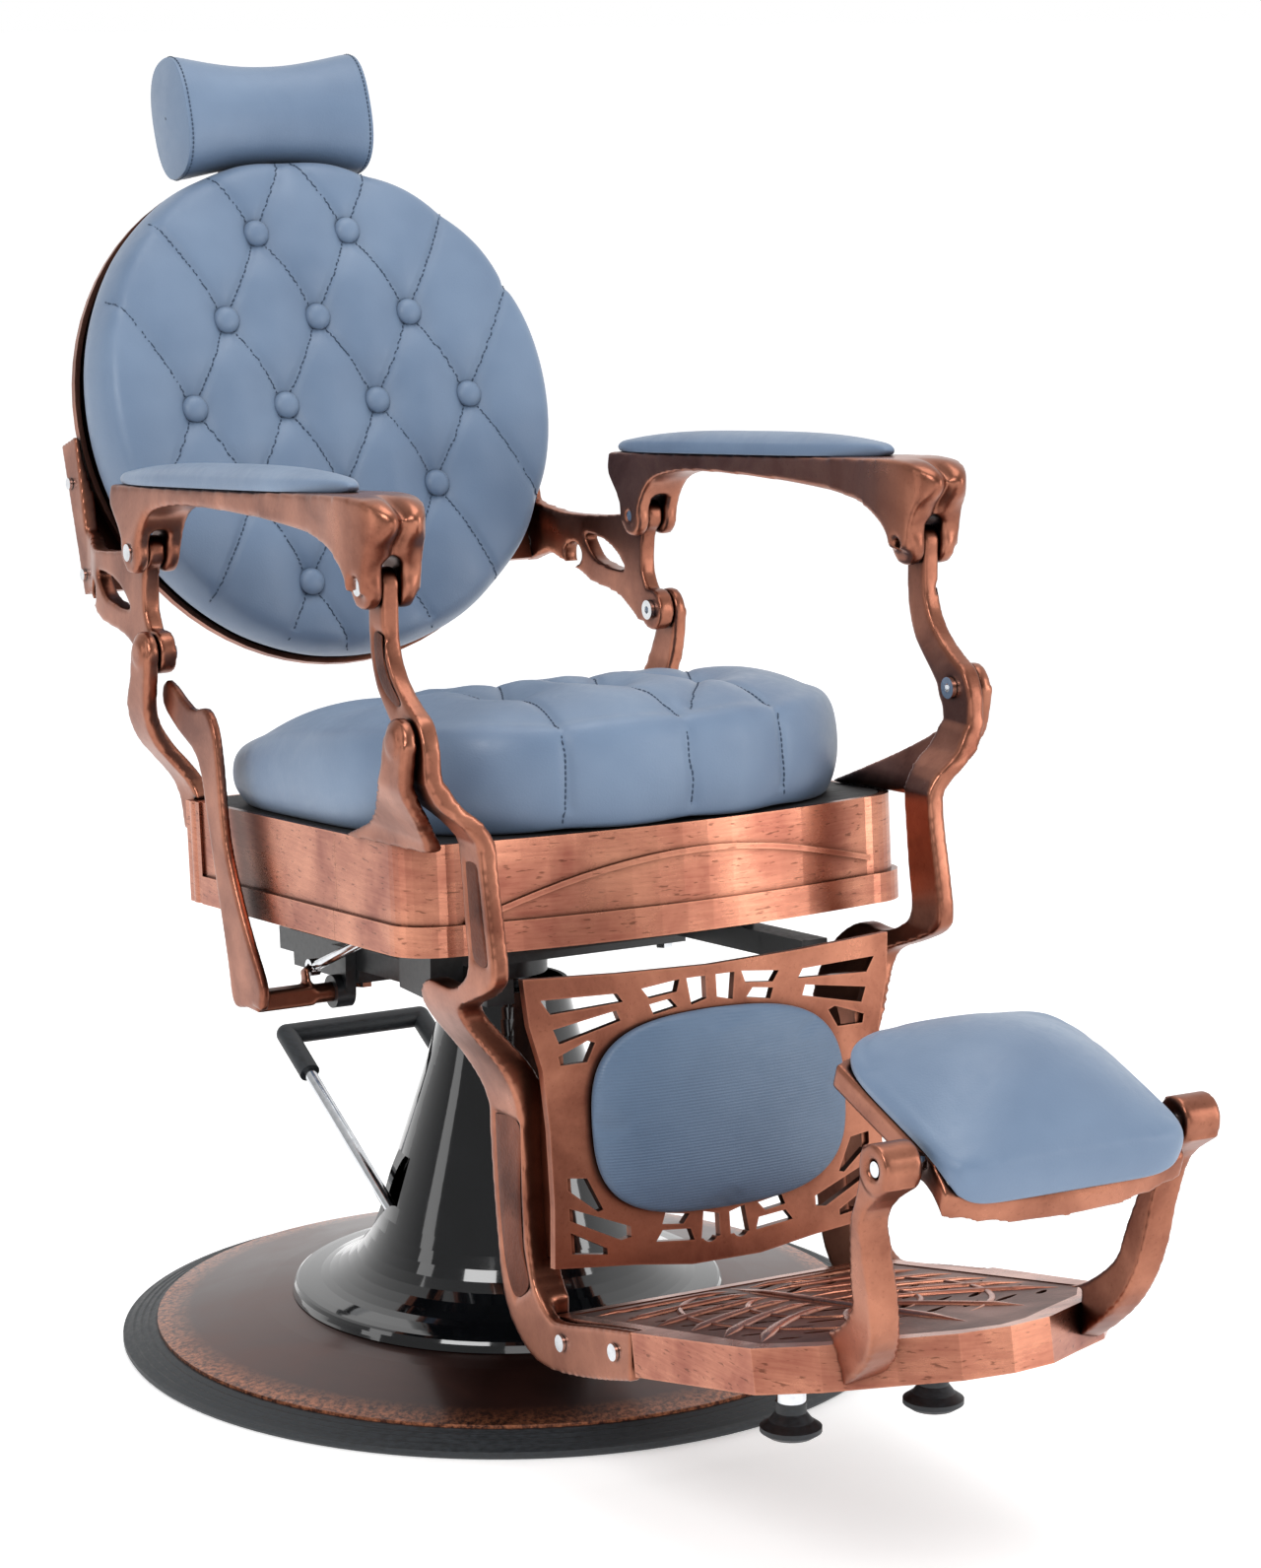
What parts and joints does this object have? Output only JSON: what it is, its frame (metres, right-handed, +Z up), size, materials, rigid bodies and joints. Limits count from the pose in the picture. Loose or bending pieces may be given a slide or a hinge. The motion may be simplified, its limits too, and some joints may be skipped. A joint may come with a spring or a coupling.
{
  "type": "barber chair",
  "caption": "Reclining barber chair on a round hydraulic base, with linked armrests, swinging leg frame, flip footrest and round tufted back.",
  "frame": {"origin": "centre of the round base's underside, on the floor", "axes": "+Z up the pump axis, the sitter faces -Y, the recline lever is on the -X side"},
  "size_m": [0.7199, 1.4957, 1.1608],
  "materials": {
    "copper_casting": "antique copper plating, brushed, dark in the recesses",
    "copper_plate": "antique copper finish, brushed",
    "leather": "soft upholstery leather, fine grain",
    "black_gloss": "gloss black moulding",
    "rubber": "matt black rubber",
    "chrome": "bright chrome",
    "black_steel": "black enamel on steel",
    "polished_steel": "ground steel",
    "wood": "plain plywood"
  },
  "bodies": {
    "stand": {"base_plate": "copper_plate", "base_rim": "rubber", "column_cover": "black_gloss", "pump_cylinder": "black_steel", "pump_bolts": "chrome", "pump_gland": "chrome"},
    "pump_pedal": {"pedal_rod": "chrome", "pedal_sleeve": "rubber"},
    "lift_column": {"piston": "polished_steel"},
    "seat": {"swivel_plate": "black_steel", "swivel_bolts": "chrome", "support_rails": "black_steel", "apron_front": "copper_casting", "apron_right": "copper_casting", "apron_left": "copper_casting", "apron_back": "copper_casting", "seat_board": "wood", "seat_cushion": "leather", "front_bracket_right": "copper_casting", "front_bracket_left": "copper_casting", "rear_post_right": "copper_casting", "rear_post_left": "copper_casting", "leg_pivot_pins": "chrome", "back_pivot_pins": "chrome", "latch_tube": "black_steel", "lever_bearing": "black_steel"},
    "lever": {"recline_lever": "copper_casting"},
    "release": {"release_rod": "chrome"},
    "backrest": {"back_shell": "copper_plate", "back_cushion": "leather", "back_buttons": "leather", "back_bracket_right": "copper_casting", "back_bracket_left": "copper_casting", "bracket_screws": "chrome", "headrest_sleeve": "black_steel"},
    "headrest": {"headrest_stalk": "black_steel", "headrest_cushion": "leather"},
    "armrest_right": {"armrest_right_casting": "copper_casting", "armrest_right_pad": "leather", "armrest_right_pins": "chrome"},
    "armrest_left": {"armrest_left_casting": "copper_casting", "armrest_left_pad": "leather", "armrest_left_pins": "chrome"},
    "leg_frame": {"leg_right": "copper_casting", "leg_left": "copper_casting", "calf_panel": "copper_casting", "calf_pad": "leather", "footplate_frame": "copper_casting", "footplate_tread": "copper_casting", "footrest_arms": "copper_casting", "lap_screws": "chrome", "foot_stems": "chrome", "foot_rubbers": "rubber", "footrest_pins": "chrome"},
    "footrest": {"footrest_frame": "copper_casting", "footrest_cushion": "leather"}
  },
  "joints": [
    {"name": "pump_pedal_press", "type": "hinge", "parent": "stand", "child": "pump_pedal", "pos_m": [-0.033, 0, 0.104], "axis": [-1, 0, 0], "range_deg": [0, 20], "stiffness_Nm_per_rad": 20, "springref_deg": -28.65},
    {"name": "seat_lift", "type": "slide", "parent": "stand", "child": "lift_column", "axis": [0, 0, 1], "range_m": [0, 0.15]},
    {"name": "seat_swivel", "type": "hinge", "parent": "lift_column", "child": "seat", "pos_m": [0, 0, 0.35], "axis": [0, 0, 1], "continuous": true},
    {"name": "recline", "type": "hinge", "parent": "seat", "child": "backrest", "pos_m": [0, 0.18, 0.637], "axis": [-1, 0, 0], "range_deg": [0, 40]},
    {"name": "leg_swing", "type": "hinge", "parent": "seat", "child": "leg_frame", "pos_m": [0, -0.352, 0.641], "axis": [-1, 0, 0], "range_deg": [0, 31]},
    {"name": "arm_right_turn", "type": "hinge", "parent": "backrest", "child": "armrest_right", "pos_m": [-0.262, 0.198, 0.728], "axis": [-1, 0, 0], "range_deg": [-42, 0]},
    {"name": "arm_left_turn", "type": "hinge", "parent": "backrest", "child": "armrest_left", "pos_m": [0.262, 0.198, 0.728], "axis": [-1, 0, 0], "range_deg": [-42, 0]},
    {"name": "headrest_height", "type": "slide", "parent": "backrest", "child": "headrest", "axis": [0, 0.342, 0.9397], "range_m": [0, 0.08]},
    {"name": "footrest_flip", "type": "hinge", "parent": "leg_frame", "child": "footrest", "pos_m": [0, -0.868, 0.398], "axis": [1, 0, 0], "range_deg": [0, 175]},
    {"name": "lever_push", "type": "hinge", "parent": "seat", "child": "lever", "pos_m": [-0.262, -0.018, 0.35], "axis": [1, 0, 0], "range_deg": [0, 12], "stiffness_Nm_per_rad": 6, "springref_deg": -22.92},
    {"name": "release_pull", "type": "slide", "parent": "seat", "child": "release", "axis": [0, -0.9184, 0.3955], "range_m": [0, 0.006]}
  ],
  "couplings": [
    {"joint": "leg_swing", "follows": "recline", "ratio": 0.77},
    {"joint": "arm_right_turn", "follows": "recline", "ratio": -1.047},
    {"joint": "arm_left_turn", "follows": "recline", "ratio": -1.047},
    {"joint": "release_pull", "follows": "lever_push", "m_per_rad": 0.024}
  ]
}
